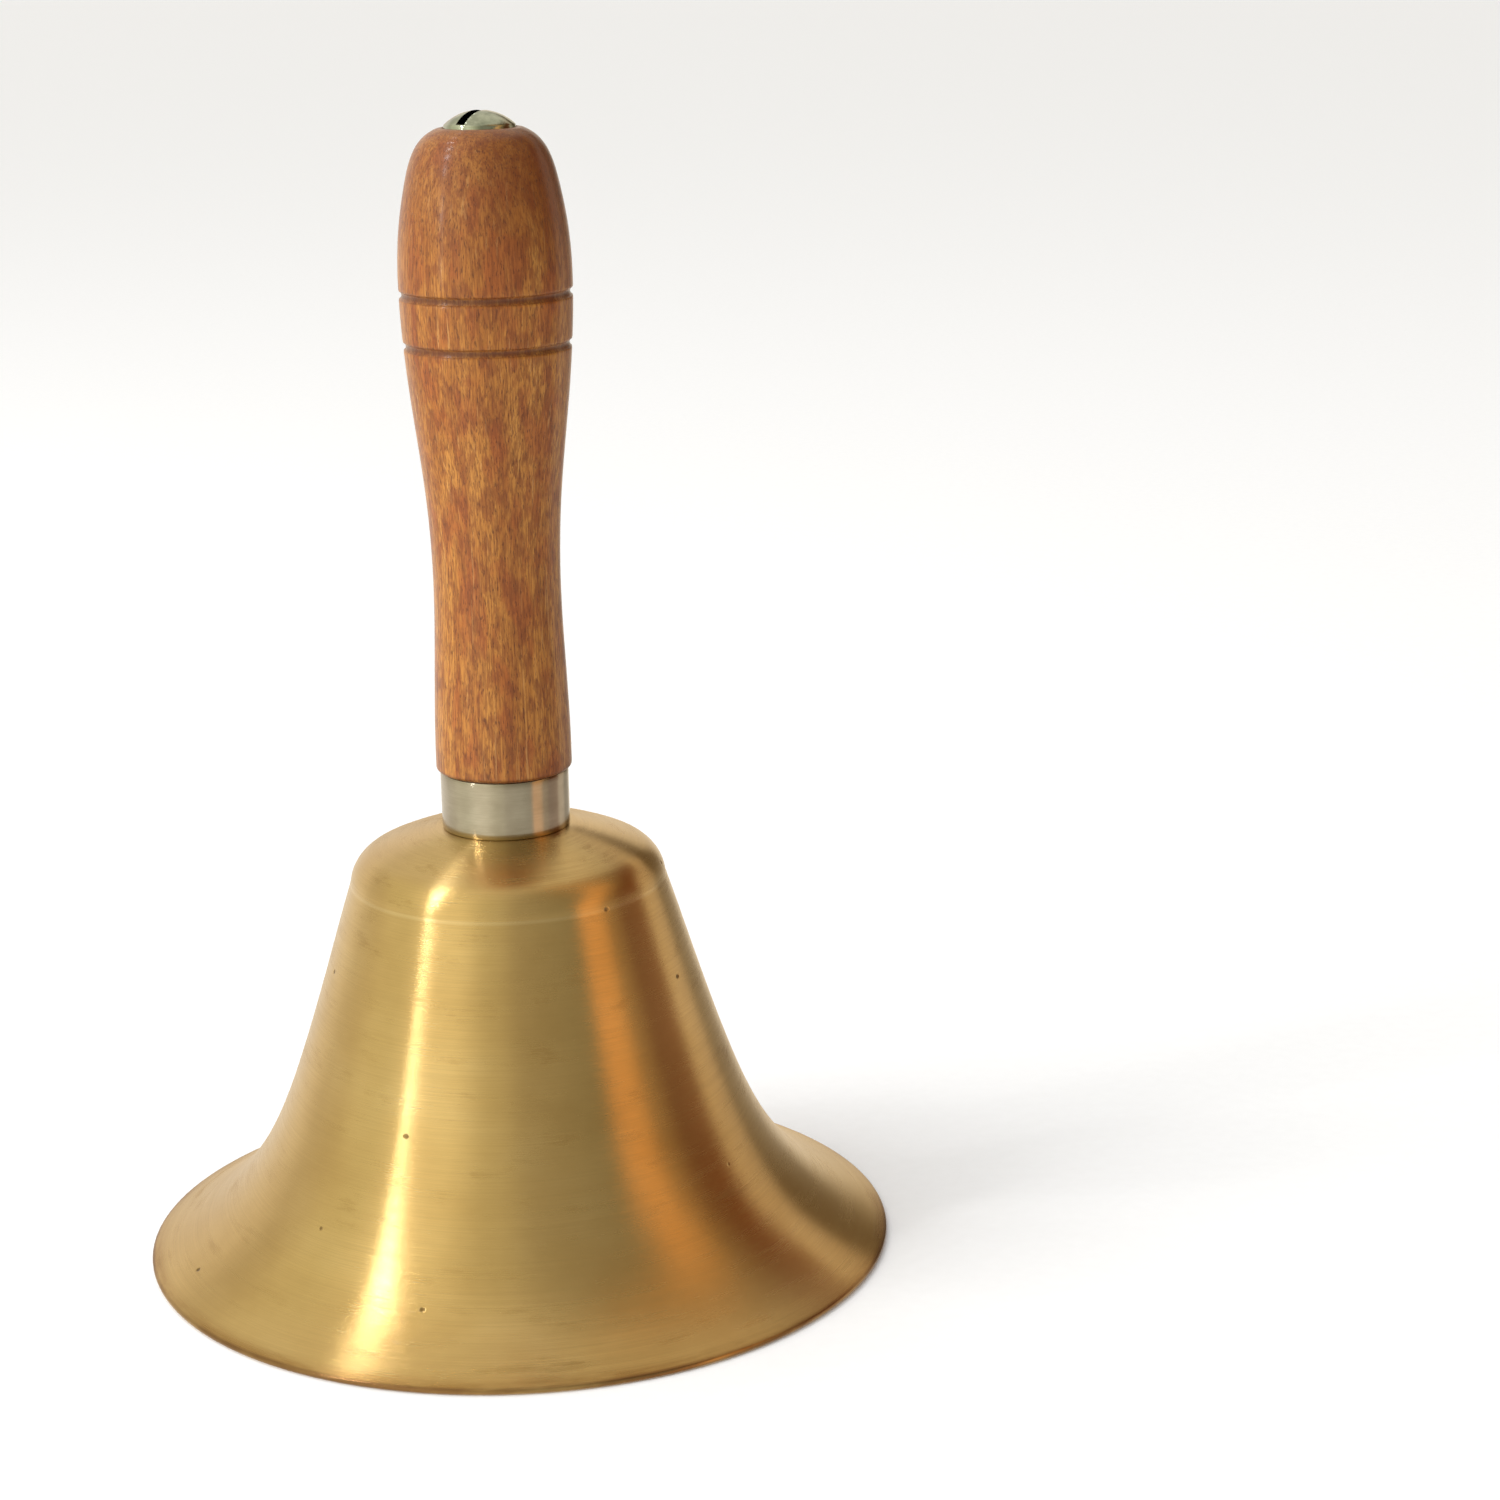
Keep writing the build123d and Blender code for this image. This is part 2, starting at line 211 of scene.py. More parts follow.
class Graph:
    """A material's nodes, with short calls for the few kinds that this object needs."""

    def __init__(self, name, **shader_values):
        self.material = bpy.data.materials.new(name)
        self.material.use_nodes = True
        self.tree = self.material.node_tree
        self.tree.nodes.clear()
        output = self.tree.nodes.new("ShaderNodeOutputMaterial")
        self.shader = self.tree.nodes.new("ShaderNodeBsdfPrincipled")
        self.tree.links.new(self.shader.outputs[0], output.inputs["Surface"])
        for socket, value in shader_values.items():
            self.shader.inputs[socket.replace("_", " ")].default_value = value
        place = self.tree.nodes.new("ShaderNodeTexCoord")
        scale = self.tree.nodes.new("ShaderNodeVectorMath")
        scale.operation = "SCALE"
        scale.inputs["Scale"].default_value = 1.0 / MM
        self.tree.links.new(place.outputs["Object"], scale.inputs[0])
        self.place = scale.outputs[0]
        split = self.tree.nodes.new("ShaderNodeSeparateXYZ")
        self.tree.links.new(self.place, split.inputs[0])
        self.x, self.y, self.z = split.outputs
        squares = [self.math("POWER", part, 2) for part in (self.x, self.y)]
        self.radius = self.math("SQRT", self.math("ADD", *squares))

    def put(self, socket, value):
        if isinstance(value, bpy.types.NodeSocket):
            self.tree.links.new(value, socket)
        else:
            socket.default_value = value

    def set(self, name, value):
        self.put(self.shader.inputs[name], value)

    def math(self, operation, a, b=0.0):
        node = self.tree.nodes.new("ShaderNodeMath")
        node.operation = operation
        self.put(node.inputs[0], a)
        self.put(node.inputs[1], b)
        return node.outputs[0]

    def vector(self, x, y, z):
        node = self.tree.nodes.new("ShaderNodeCombineXYZ")
        for socket, value in zip(node.inputs, (x, y, z)):
            self.put(socket, value)
        return node.outputs[0]

    def stretched(self, sx, sy, sz):
        node = self.tree.nodes.new("ShaderNodeVectorMath")
        node.operation = "MULTIPLY"
        self.put(node.inputs[0], self.place)
        node.inputs[1].default_value = (sx, sy, sz)
        return node.outputs[0]

    def round_place(self, around, along, shift=0.0):
        """Coordinates that run slowly round the axis and fast along the profile, for turned marks."""
        safe = self.math("MAXIMUM", self.radius, 0.01)
        cos_part = self.math("MULTIPLY", self.math("DIVIDE", self.x, safe), around)
        sin_part = self.math("MULTIPLY", self.math("DIVIDE", self.y, safe), around)
        run = self.math("MULTIPLY", self.math("SUBTRACT", self.z, self.radius), along)
        return self.vector(self.math("ADD", cos_part, shift), sin_part, run)

    def noise(self, vector, scale=1.0, detail=2.0, roughness=0.5):
        node = self.tree.nodes.new("ShaderNodeTexNoise")
        self.put(node.inputs["Vector"], vector)
        node.inputs["Scale"].default_value = scale
        node.inputs["Detail"].default_value = detail
        node.inputs["Roughness"].default_value = roughness
        return node.outputs["Fac"]

    def cells(self, vector):
        """Distance to the nearest of some scattered points, and that point's own random colour."""
        node = self.tree.nodes.new("ShaderNodeTexVoronoi")
        self.put(node.inputs["Vector"], vector)
        node.inputs["Scale"].default_value = 1.0
        return node.outputs["Distance"], node.outputs["Color"]

    def ramp(self, value, low, high, to_low=0.0, to_high=1.0):
        node = self.tree.nodes.new("ShaderNodeMapRange")
        node.interpolation_type = "SMOOTHSTEP"
        self.put(node.inputs["Value"], value)
        node.inputs["From Min"].default_value = low
        node.inputs["From Max"].default_value = high
        node.inputs["To Min"].default_value = to_low
        node.inputs["To Max"].default_value = to_high
        return node.outputs[0]

    def colours(self, value, *stops):
        node = self.tree.nodes.new("ShaderNodeValToRGB")
        self.put(node.inputs[0], value)
        elements = node.color_ramp.elements
        while len(elements) < len(stops):
            elements.new(1.0)
        for element, (position, colour) in zip(elements, stops):
            element.position = position
            element.color = (*colour, 1.0)
        return node.outputs[0]

    def mix(self, factor, a, b):
        node = self.tree.nodes.new("ShaderNodeMix")
        node.data_type = "RGBA"
        self.put(node.inputs["Factor"], factor)
        sockets = [s for s in node.inputs if s.type == "RGBA"]
        for socket, value in zip(sockets, (a, b)):
            self.put(socket, value if isinstance(value, bpy.types.NodeSocket) else (*value, 1.0))
        return next(s for s in node.outputs if s.type == "RGBA")

    def bump(self, height, distance_mm, strength=1.0, below=None):
        node = self.tree.nodes.new("ShaderNodeBump")
        node.inputs["Strength"].default_value = strength
        node.inputs["Distance"].default_value = distance_mm * MM
        self.put(node.inputs["Height"], height)
        if below is not None:
            self.put(node.inputs["Normal"], below)
        return node.outputs[0]

    def clear_from_behind(self):
        """Shows nothing of the back of a surface, so that the floor doesn't hide the bell's inside."""
        side = self.tree.nodes.new("ShaderNodeNewGeometry")
        clear = self.tree.nodes.new("ShaderNodeBsdfTransparent")
        choose = self.tree.nodes.new("ShaderNodeMixShader")
        output = next(node for node in self.tree.nodes if node.type == "OUTPUT_MATERIAL")
        self.tree.links.new(side.outputs["Backfacing"], choose.inputs[0])
        self.tree.links.new(self.shader.outputs[0], choose.inputs[1])
        self.tree.links.new(clear.outputs[0], choose.inputs[2])
        self.tree.links.new(choose.outputs[0], output.inputs["Surface"])

    def turn_tangent(self):
        node = self.tree.nodes.new("ShaderNodeTangent")
        node.direction_type = "RADIAL"
        node.axis = "Z"
        self.put(self.shader.inputs["Tangent"], node.outputs[0])


# ---------------------------------------------------------------- materials

def brass_outside():
    g = Graph("brushed_brass", Metallic=1.0, Anisotropic=1.0, Anisotropic_Rotation=0.25)
    g.turn_tangent()
    lines = g.noise(g.round_place(1.6, 9.0), detail=3.0, roughness=0.65)
    hairs = g.noise(g.round_place(3.5, 26.0, 7.0), detail=2.0, roughness=0.6)
    cloud = g.noise(g.stretched(0.05, 0.05, 0.08), detail=4.0, roughness=0.6)
    stain = g.noise(g.round_place(3.0, 0.35, 3.0), detail=4.0, roughness=0.65)
    base = g.colours(
        cloud,
        (0.30, (0.62, 0.42, 0.165)),
        (0.52, (0.70, 0.49, 0.205)),
        (0.75, (0.76, 0.55, 0.25)),
    )
    base = g.mix(g.ramp(stain, 0.56, 0.78, 0.0, 0.45), base, (0.50, 0.31, 0.11))
    base = g.mix(g.ramp(lines, 0.35, 0.65, 0.0, 0.22), base, (0.50, 0.345, 0.14))
    on_rim = g.ramp(g.radius, *OUTSIDE_RIM_RANGE)
    rim_tarnish = g.math("MULTIPLY", on_rim, g.ramp(stain, 0.35, 0.62, 0.25, 0.8))
    base = g.mix(rim_tarnish, base, (0.40, 0.22, 0.07))
    on_edge = g.ramp(g.radius, *OUTSIDE_EDGE_RANGE)
    edge_tarnish = g.math("MULTIPLY", on_edge, g.ramp(stain, 0.35, 0.62, 0.35, 0.85))
    base = g.mix(edge_tarnish, base, (0.24, 0.125, 0.055))
    spot_distance, spot_colour = g.cells(g.stretched(0.16, 0.16, 0.2))
    in_spot = g.ramp(spot_distance, 0.02, 0.065, 1.0, 0.0)
    spots = g.math("MULTIPLY", in_spot, g.ramp(spot_colour, 0.5, 0.6))
    base = g.mix(g.math("MULTIPLY", spots, 0.6), base, (0.17, 0.09, 0.03))
    # Painted highlight: the base colour is lighter along the crease between crown and shoulder.
    from_crease = g.math("ABSOLUTE", g.math("SUBTRACT", g.z, CREASE_HEIGHT))
    base = g.mix(g.ramp(from_crease, *CREASE_HIGHLIGHT_RANGE, 0.28, 0.0), base, (0.92, 0.74, 0.42))
    g.set("Base Color", base)
    rough = g.ramp(lines, 0.3, 0.7, 0.20, 0.27)
    rough = g.math("ADD", rough, g.ramp(stain, 0.5, 0.8, 0.0, 0.1))
    g.set("Roughness", g.math("ADD", rough, g.math("MULTIPLY", spots, 0.3)))
    fine = g.bump(g.math("ADD", lines, g.math("MULTIPLY", hairs, 0.8)), 0.0055)
    g.set("Normal", g.bump(g.math("SUBTRACT", 1.0, spots), 0.05, below=fine))
    return g.material


def brass_inside():
    g = Graph("lacquered_brass", Metallic=1.0, Anisotropic=0.35, Anisotropic_Rotation=0.25)
    g.turn_tangent()
    grain = g.noise(g.stretched(4.0, 4.0, 4.0), detail=3.0, roughness=0.6)
    rings = g.noise(g.round_place(1.2, 3.0, 11.0), detail=2.0)
    cloud = g.noise(g.stretched(0.07, 0.07, 0.07), detail=3.0)
    base = g.colours(
        cloud,
        (0.32, (0.58, 0.38, 0.07)),
        (0.55, (0.70, 0.49, 0.11)),
        (0.72, (0.76, 0.56, 0.16)),
    )
    base = g.mix(g.ramp(grain, 0.38, 0.66, 0.0, 0.35), base, (0.42, 0.26, 0.05))
    base = g.mix(g.ramp(g.z, *INSIDE_SHADE_RANGE, 0.0, 0.55), base, (0.36, 0.20, 0.04))
    on_edge = g.ramp(g.radius, *INSIDE_EDGE_RANGE)
    edge_tarnish = g.math("MULTIPLY", on_edge, g.ramp(grain, 0.35, 0.65, 0.35, 0.9))
    base = g.mix(edge_tarnish, base, (0.24, 0.125, 0.055))
    g.set("Base Color", base)
    g.set("Roughness", g.ramp(grain, 0.3, 0.7, 0.26, 0.40))
    soft = g.bump(rings, 0.01)
    g.set("Normal", g.bump(grain, 0.012, below=soft))
    return g.material


def wood():
    g = Graph("turned_wood", Specular_IOR_Level=0.2, Coat_Weight=0.55, Coat_Roughness=0.18)
    warp = g.noise(g.stretched(0.10, 0.10, 0.03), detail=2.0)
    bent = g.vector(
        g.math("ADD", g.x, g.math("MULTIPLY", warp, 3.0)),
        g.math("ADD", g.y, g.math("MULTIPLY", warp, 2.0)),
        g.math("MULTIPLY", g.z, 0.05),
    )
    figure = g.noise(bent, scale=0.5, detail=5.0, roughness=0.6)
    mottle = g.noise(g.stretched(0.42, 0.42, 0.16), detail=4.0, roughness=0.58)
    curl = g.noise(g.stretched(1.2, 1.2, 0.42), detail=3.0, roughness=0.6)
    grain = g.noise(g.stretched(6.0, 6.0, 0.42), detail=3.0, roughness=0.6)
    pale = g.noise(g.stretched(1.9, 1.9, 0.05), detail=3.0, roughness=0.55)
    pores = g.noise(g.stretched(8.0, 8.0, 1.3), detail=2.0)
    base = g.colours(
        figure,
        (0.30, (0.345, 0.113, 0.015)),
        (0.44, (0.430, 0.160, 0.024)),
        (0.56, (0.510, 0.208, 0.035)),
        (0.72, (0.580, 0.256, 0.048)),
    )
    base = g.mix(g.ramp(mottle, 0.46, 0.64, 0.0, 0.65), base, (0.34, 0.075, 0.013))
    base = g.mix(g.ramp(curl, 0.48, 0.62, 0.0, 0.6), base, (0.21, 0.048, 0.010))
    base = g.mix(g.ramp(pale, 0.60, 0.70, 0.0, 0.4), base, (0.66, 0.35, 0.11))
    # Painted shade: the handle is darker towards its top, and more so on its right side.
    to_right = g.math("ADD", g.x, g.math("MULTIPLY", curl, 8.0))
    near_top = g.ramp(g.z, *SHADED_TOP_RANGE)
    painted_top_shade = g.math("MULTIPLY", near_top, g.ramp(to_right, 1.0, 12.0, 0.42, 0.85))
    base = g.mix(painted_top_shade, base, (0.15, 0.034, 0.009))
    base = g.mix(g.ramp(grain, 0.40, 0.62, 0.0, 0.62), base, (0.17, 0.045, 0.009))
    flecks = g.ramp(pores, 0.58, 0.68)
    base = g.mix(g.math("MULTIPLY", flecks, 0.62), base, (0.070, 0.016, 0.005))
    # The wood is darker in and around the two grooves.
    groove_darkening = 0.0
    for height in GROOVE_HEIGHTS:
        away = g.math("ABSOLUTE", g.math("SUBTRACT", g.z, height))
        groove_darkening = g.math("MAXIMUM", groove_darkening, g.ramp(away, 0.0, GROOVE_DARK_REACH, 1.0, 0.0))
    base = g.mix(g.math("MULTIPLY", groove_darkening, 0.72), base, (0.085, 0.020, 0.007))
    # Painted shadow: a dark line at the handle's foot, where it sits on the ferrule.
    foot = g.ramp(g.z, *HANDLE_FOOT_SHADE_RANGE, 0.7, 0.0)
    base = g.mix(foot, base, (0.11, 0.03, 0.010))
    g.set("Base Color", base)
    g.set("Roughness", g.ramp(grain, 0.3, 0.7, 0.38, 0.5))
    relief = g.math("SUBTRACT", g.math("MULTIPLY", grain, -0.3), flecks)
    g.set("Normal", g.bump(relief, 0.02))
    return g.material


def ferrule_metal():
    g = Graph("turned_aluminium", Metallic=1.0, Anisotropic=0.5, Anisotropic_Rotation=0.25)
    g.turn_tangent()
    lines = g.noise(g.round_place(2.0, 12.0), detail=3.0)
    haze = g.noise(g.stretched(0.3, 0.3, 0.5), detail=3.0)
    base = g.colours(haze, (0.3, (0.42, 0.37, 0.29)), (0.7, (0.52, 0.47, 0.38)))
    g.set("Base Color", g.mix(g.ramp(lines, 0.4, 0.7, 0.0, 0.2), base, (0.34, 0.30, 0.23)))
    g.set("Roughness", g.ramp(lines, 0.3, 0.7, 0.13, 0.20))
    g.set("Normal", g.bump(lines, 0.006))
    return g.material


def cap_plating():
    g = Graph("cap_plating", Metallic=1.0)
    haze = g.noise(g.stretched(0.9, 0.9, 0.9), detail=3.0)
    scratch = g.noise(g.stretched(9.0, 1.2, 3.0), detail=2.0)
    g.set("Base Color", g.colours(haze, (0.35, (0.30, 0.33, 0.25)), (0.65, (0.50, 0.53, 0.42))))
    g.set("Roughness", g.ramp(haze, 0.3, 0.7, 0.06, 0.16))
    g.set("Normal", g.bump(scratch, 0.008))
    return g.material


def washer_plating():
    g = Graph("washer_plating", Metallic=1.0)
    cloud = g.noise(g.stretched(0.18, 0.18, 0.18), detail=4.0, roughness=0.6)
    speck = g.noise(g.stretched(2.5, 2.5, 2.5), detail=2.0)
    base = g.colours(
        cloud,
        (0.30, (0.45, 0.20, 0.14)),
        (0.50, (0.56, 0.28, 0.20)),
        (0.66, (0.62, 0.36, 0.22)),
        (0.80, (0.62, 0.44, 0.20)),
    )
    near_hole = g.ramp(g.radius, *DISC_TINT_RANGE, 0.55, 0.0)
    base = g.mix(near_hole, base, (0.62, 0.46, 0.20))
    g.set("Base Color", base)
    g.set("Roughness", g.ramp(speck, 0.3, 0.7, 0.28, 0.42))
    g.set("Normal", g.bump(speck, 0.006))
    return g.material


def eye_steel():
    g = Graph("eye_plating", Metallic=1.0)
    haze = g.noise(g.stretched(0.8, 0.8, 0.8), detail=3.0)
    draw = g.noise(g.stretched(5.0, 5.0, 1.0), detail=2.0)
    base = g.colours(
        haze,
        (0.3, (0.33, 0.30, 0.20)),
        (0.6, (0.50, 0.46, 0.32)),
        (0.8, (0.58, 0.55, 0.45)),
    )
    g.set("Base Color", base)
    g.set("Roughness", g.ramp(draw, 0.3, 0.7, 0.24, 0.38))
    g.set("Normal", g.bump(draw, 0.01))
    return g.material


def link_wire():
    g = Graph("drawn_wire", Metallic=1.0)
    haze = g.noise(g.stretched(1.2, 1.2, 0.5), detail=3.0)
    draw = g.noise(g.stretched(14.0, 14.0, 0.8), detail=2.0)
    g.set("Base Color", g.colours(haze, (0.3, (0.50, 0.47, 0.37)), (0.7, (0.72, 0.70, 0.62))))
    g.set("Roughness", g.ramp(draw, 0.3, 0.7, 0.18, 0.32))
    g.set("Normal", g.bump(draw, 0.006))
    return g.material


def clapper_iron():
    g = Graph("clapper_iron", Metallic=1.0)
    ball_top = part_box("clapper")[0].z / MM + BALL_TOP_RISE
    on_ball = g.ramp(g.z, ball_top - 1.5, ball_top + 0.3, 1.0, 0.0)
    scale = g.noise(g.stretched(1.6, 1.6, 1.6), detail=5.0, roughness=0.65)
    rust = g.noise(g.stretched(0.5, 0.5, 0.5), detail=4.0, roughness=0.6)
    polish = g.noise(g.stretched(0.35, 0.35, 0.2), detail=4.0)
    dull = g.colours(
        scale,
        (0.30, (0.13, 0.11, 0.10)),
        (0.55, (0.23, 0.20, 0.185)),
        (0.75, (0.33, 0.30, 0.28)),
    )
    dull = g.mix(g.ramp(rust, 0.5, 0.75, 0.0, 0.5), dull, (0.19, 0.13, 0.095))
    bright = g.colours(polish, (0.3, (0.17, 0.163, 0.17)), (0.65, (0.34, 0.33, 0.345)))
    g.set("Base Color", g.mix(on_ball, dull, bright))
    rough = g.ramp(scale, 0.3, 0.7, 0.46, 0.62)
    g.set("Roughness", g.math("SUBTRACT", rough, g.math("MULTIPLY", on_ball, 0.2)))
    pits = g.bump(scale, 0.04, strength=0.7)
    g.set("Normal", g.bump(polish, 0.02, below=pits))
    return g.material


def floor_paint():
    g = Graph("floor_paper", Roughness=0.8)
    tooth = g.noise(g.stretched(0.6, 0.6, 0.6), detail=3.0)
    g.set("Base Color", g.colours(tooth, (0.3, (0.965, 0.965, 0.965)), (0.7, (0.985, 0.985, 0.985))))
    g.set("Normal", g.bump(tooth, 0.05, strength=0.3))
    g.clear_from_behind()
    return g.material


# ---------------------------------------------------------------- outlines

def seam_outline(node):
    """The (radius, height) points of a turned CAD node, in order, read from the edges of its seam."""
    work = bmesh.new()
    work.from_mesh(frame["nodes"][node].data)
    bmesh.ops.remove_doubles(work, verts=work.verts, dist=SAME_PLACE)
    seam = {v for v in work.verts if abs(v.co.y) < SAME_PLACE and v.co.x > -SAME_PLACE}
    beside = {v: [e.other_vert(v) for e in v.link_edges if e.other_vert(v) in seam] for v in seam}
    ends = [v for v in seam if len(beside[v]) == 1]
    start = min(ends or seam, key=lambda v: (v.co.z, v.co.x))
    outline, seen, here = [], set(), start
    while here is not None:
        outline.append((here.co.x, here.co.z))
        seen.add(here)
        here = next((v for v in beside[here] if v not in seen), None)
    work.free()
    return np.array(outline), not ends


def corner_flags(points, closed):
    """Which points of an outline are sharp corners. The ends of an open outline count as corners."""
    count = len(points)
    flags = []
    for i in range(count):
        if not closed and i in (0, count - 1):
            flags.append(True)
            continue
        before = points[i] - points[i - 1]
        after = points[(i + 1) % count] - points[i]
        turn = math.atan2(before[0] * after[1] - before[1] * after[0], float(before @ after))
        flags.append(abs(turn) > CORNER_ANGLE)
    return flags


def refined(points, closed, round_off):
    """The outline with its curved runs divided finely and its sharp corners slightly rounded."""
    flags = corner_flags(points, closed)
    count = len(points)
    result = []
    for i in range(count if closed else count - 1):
        a, b = points[i], points[(i + 1) % count]
        length = float(np.linalg.norm(b - a))
        before = points[i - 1] if not flags[i] else a
        after = points[(i + 2) % count] if not flags[(i + 1) % count] else b
        steps = max(2, math.ceil(length / FINEST_RUN))
        start_cut = min(round_off, CUT_SHARE * length) / length if flags[i] else 0.0
        end_cut = min(round_off, CUT_SHARE * length) / length if flags[(i + 1) % count] else 0.0
        tangent_a = direction(before, b)
        tangent_b = direction(a, after)
        for k in range(steps + 1):
            if k == steps and not flags[(i + 1) % count]:
                break
            t = start_cut + (1.0 - start_cut - end_cut) * k / steps
            result.append(hermite(a, b, tangent_a * length, tangent_b * length, t))
    return np.array(result)


def direction(start, end):
    across = end - start
    return across / max(float(np.linalg.norm(across)), NO_LENGTH)


def hermite(a, b, slope_a, slope_b, t):
    """Point at t, from 0 to 1, of the cubic curve from a to b with these slopes at its ends."""
    t2, t3 = t * t, t * t * t
    ends = (2 * t3 - 3 * t2 + 1) * a + (3 * t2 - 2 * t3) * b
    slopes = (t3 - 2 * t2 + t) * slope_a + (t3 - t2) * slope_b
    return ends + slopes


def round_point(centre, radius, angle):
    return np.array([centre[0] + radius * math.cos(angle), centre[1] + radius * math.sin(angle)])


def arc(centre, radius, start, end, steps=20):
    return [round_point(centre, radius, start + (end - start) * k / steps) for k in range(steps + 1)]


def tangent_angle(centre_a, radius_a, centre_b, radius_b):
    """Angle of the outward normal of the outer tangent from circle a to circle b, anticlockwise."""
    across, up = centre_b[0] - centre_a[0], centre_b[1] - centre_a[1]
    return math.atan2(up, across) - math.acos((radius_a - radius_b) / math.hypot(across, up))


# ---------------------------------------------------------------- meshes

def new_object(name, verts, faces, materials, face_slots=None):
    mesh = bpy.data.meshes.new(name)
    mesh.from_pydata([tuple(v) for v in verts], [], faces)
    for material in materials:
        mesh.materials.append(material)
    if face_slots is not None:
        mesh.polygons.foreach_set("material_index", face_slots)
    mesh.shade_smooth()
    piece = bpy.data.objects.new(name, mesh)
    bpy.context.scene.collection.objects.link(piece)
    return piece


def face_outward(piece):
    work = bmesh.new()
    work.from_mesh(piece.data)
    bmesh.ops.remove_doubles(work, verts=work.verts, dist=WELD_REACH)
    bmesh.ops.recalc_face_normals(work, faces=work.faces)
    work.to_mesh(piece.data)
    work.free()


def lathe(name, outline, closed, materials, steps=TURNED_STEPS, slot_of=None):
    """A turned piece: the outline spun about Z. Points on the axis become the middle of a fan.

    slot_of(middle, outward) picks the material of each ring of faces from its outline segment.
    """
    verts, rings = [], []
    for r, z in outline:
        if r < ON_AXIS:
            rings.append([len(verts)] * steps)
            verts.append((0.0, 0.0, z))
            continue
        rings.append(list(range(len(verts), len(verts) + steps)))
        angles = [2 * math.pi * k / steps for k in range(steps)]
        verts += [(r * math.cos(angle), r * math.sin(angle), z) for angle in angles]
    faces, slots = [], []
    turning = signed_area(outline)
    for i in range(len(rings) if closed else len(rings) - 1):
        lower, upper = rings[i], rings[(i + 1) % len(rings)]
        here, there = outline[i], outline[(i + 1) % len(rings)]
        outward = np.array([there[1] - here[1], here[0] - there[0]]) * turning
        slot = slot_of((here + there) / 2, outward) if slot_of else 0
        for k in range(steps):
            corners = [lower[k], lower[(k + 1) % steps], upper[(k + 1) % steps], upper[k]]
            face = list(dict.fromkeys(corners))
            if len(face) > 2:
                faces.append(face)
                slots.append(slot)
    piece = new_object(name, verts, faces, materials, slots)
    face_outward(piece)
    return piece


def signed_area(outline):
    """1 for an outline that runs anticlockwise round its area, and -1 for one that runs clockwise."""
    r, z = outline[:, 0], outline[:, 1]
    return 1.0 if float(np.sum(r * np.roll(z, -1) - np.roll(r, -1) * z)) > 0 else -1.0


def turned_node(node, name, materials, round_off, steps=TURNED_STEPS, slot_of=None):
    points, closed = seam_outline(node)
    return lathe(name, refined(points, closed, round_off), closed, materials, steps, slot_of)


def tube(name, path, radius, materials, closed=False, sides=28, end_round=0.0):
    """Round wire along a planar path of XZ points. Open ends are flat, with a slightly rounded edge."""
    path = [np.array(point) for point in path]
    points = [p for i, p in enumerate(path) if i == 0 or np.linalg.norm(p - path[i - 1]) > SAME_PLACE]
    verts, faces = [], []
    count = len(points)
    if closed and np.linalg.norm(points[0] - points[-1]) < SAME_PLACE:
        points = points[:-1]
        count -= 1
    stations = []
    for i, point in enumerate(points):
        before = points[i - 1] if closed or i else point
        after = points[(i + 1) % count] if closed or i < count - 1 else point
        along = (after - before) / np.linalg.norm(after - before)
        stations.append((point, along, radius))
    if not closed:
        first, last = stations[0], stations[-1]
        stations = [
            (first[0], first[1], radius - end_round),
            (first[0] + first[1] * end_round, first[1], radius),
            *stations[1:-1],
            (last[0] - last[1] * end_round, last[1], radius),
            (last[0], last[1], radius - end_round),
        ]
    for point, along, size in stations:
        side = (along[1], -along[0])
        for k in range(sides):
            angle = 2 * math.pi * k / sides
            out, flat = size * math.cos(angle), size * math.sin(angle)
            verts.append((point[0] + out * side[0], flat, point[1] + out * side[1]))
    rings = len(stations)
    for i in range(rings if closed else rings - 1):
        a, b = i * sides, ((i + 1) % rings) * sides
        faces += [[a + k, a + (k + 1) % sides, b + (k + 1) % sides, b + k] for k in range(sides)]
    if not closed:
        faces += [list(range(sides))[::-1], list(range((rings - 1) * sides, rings * sides))]
    piece = new_object(name, verts, faces, materials)
    face_outward(piece)
    piece.data.set_sharp_from_angle(angle=WIRE_SHARP_ANGLE)
    return piece


def combine(piece, other, operation, bevel=0.0):
    """Applies a boolean of two meshes to the first and removes the second."""
    modifier = piece.modifiers.new("join", "BOOLEAN")
    modifier.operation = operation
    modifier.object = other
    modifier.solver = "EXACT"
    if bevel:
        softened = piece.modifiers.new("soften", "BEVEL")
        softened.width = bevel
        softened.segments = 2
        softened.limit_method = "ANGLE"
        softened.angle_limit = CUT_BEVEL_ANGLE
    bpy.context.view_layer.update()
    mesh = bpy.data.meshes.new_from_object(piece.evaluated_get(bpy.context.evaluated_depsgraph_get()))
    piece.modifiers.clear()
    piece.data = mesh
    bpy.data.objects.remove(other)
    mesh.shade_smooth()
    mesh.set_sharp_from_angle(angle=CUT_SHARP_ANGLE)


def box_mesh(name, size, centre, turn):
    half = [s / 2 for s in size]
    verts = [(x * half[0], y * half[1], z * half[2]) for x in (-1, 1) for y in (-1, 1) for z in (-1, 1)]
    faces = [(0, 1, 3, 2), (4, 6, 7, 5), (0, 4, 5, 1), (2, 3, 7, 6), (0, 2, 6, 4), (1, 5, 7, 3)]
    piece = new_object(name, verts, faces, [])
    piece.data.transform(Matrix.Translation(centre) @ Matrix.Rotation(turn, 4, "Z"))
    face_outward(piece)
    return piece


def stand_in_for(piece, node, body):
    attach(piece, body)
    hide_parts(node)


# ---------------------------------------------------------------- pieces

def joint_height(name):
    return next(j["pos_m"][2] for j in frame["joints"] if j["name"] == name)


def make_bell():
    def side(middle, outward):
        on_rim_land = middle[1] < RIM_LAND_TOP
        return 1 if outward.sum() < 0 and not on_rim_land else 0

    materials = [brass_outside(), brass_inside()]
    return turned_node("bell_body", "bell_shell", materials, SHELL_EDGE, slot_of=side)


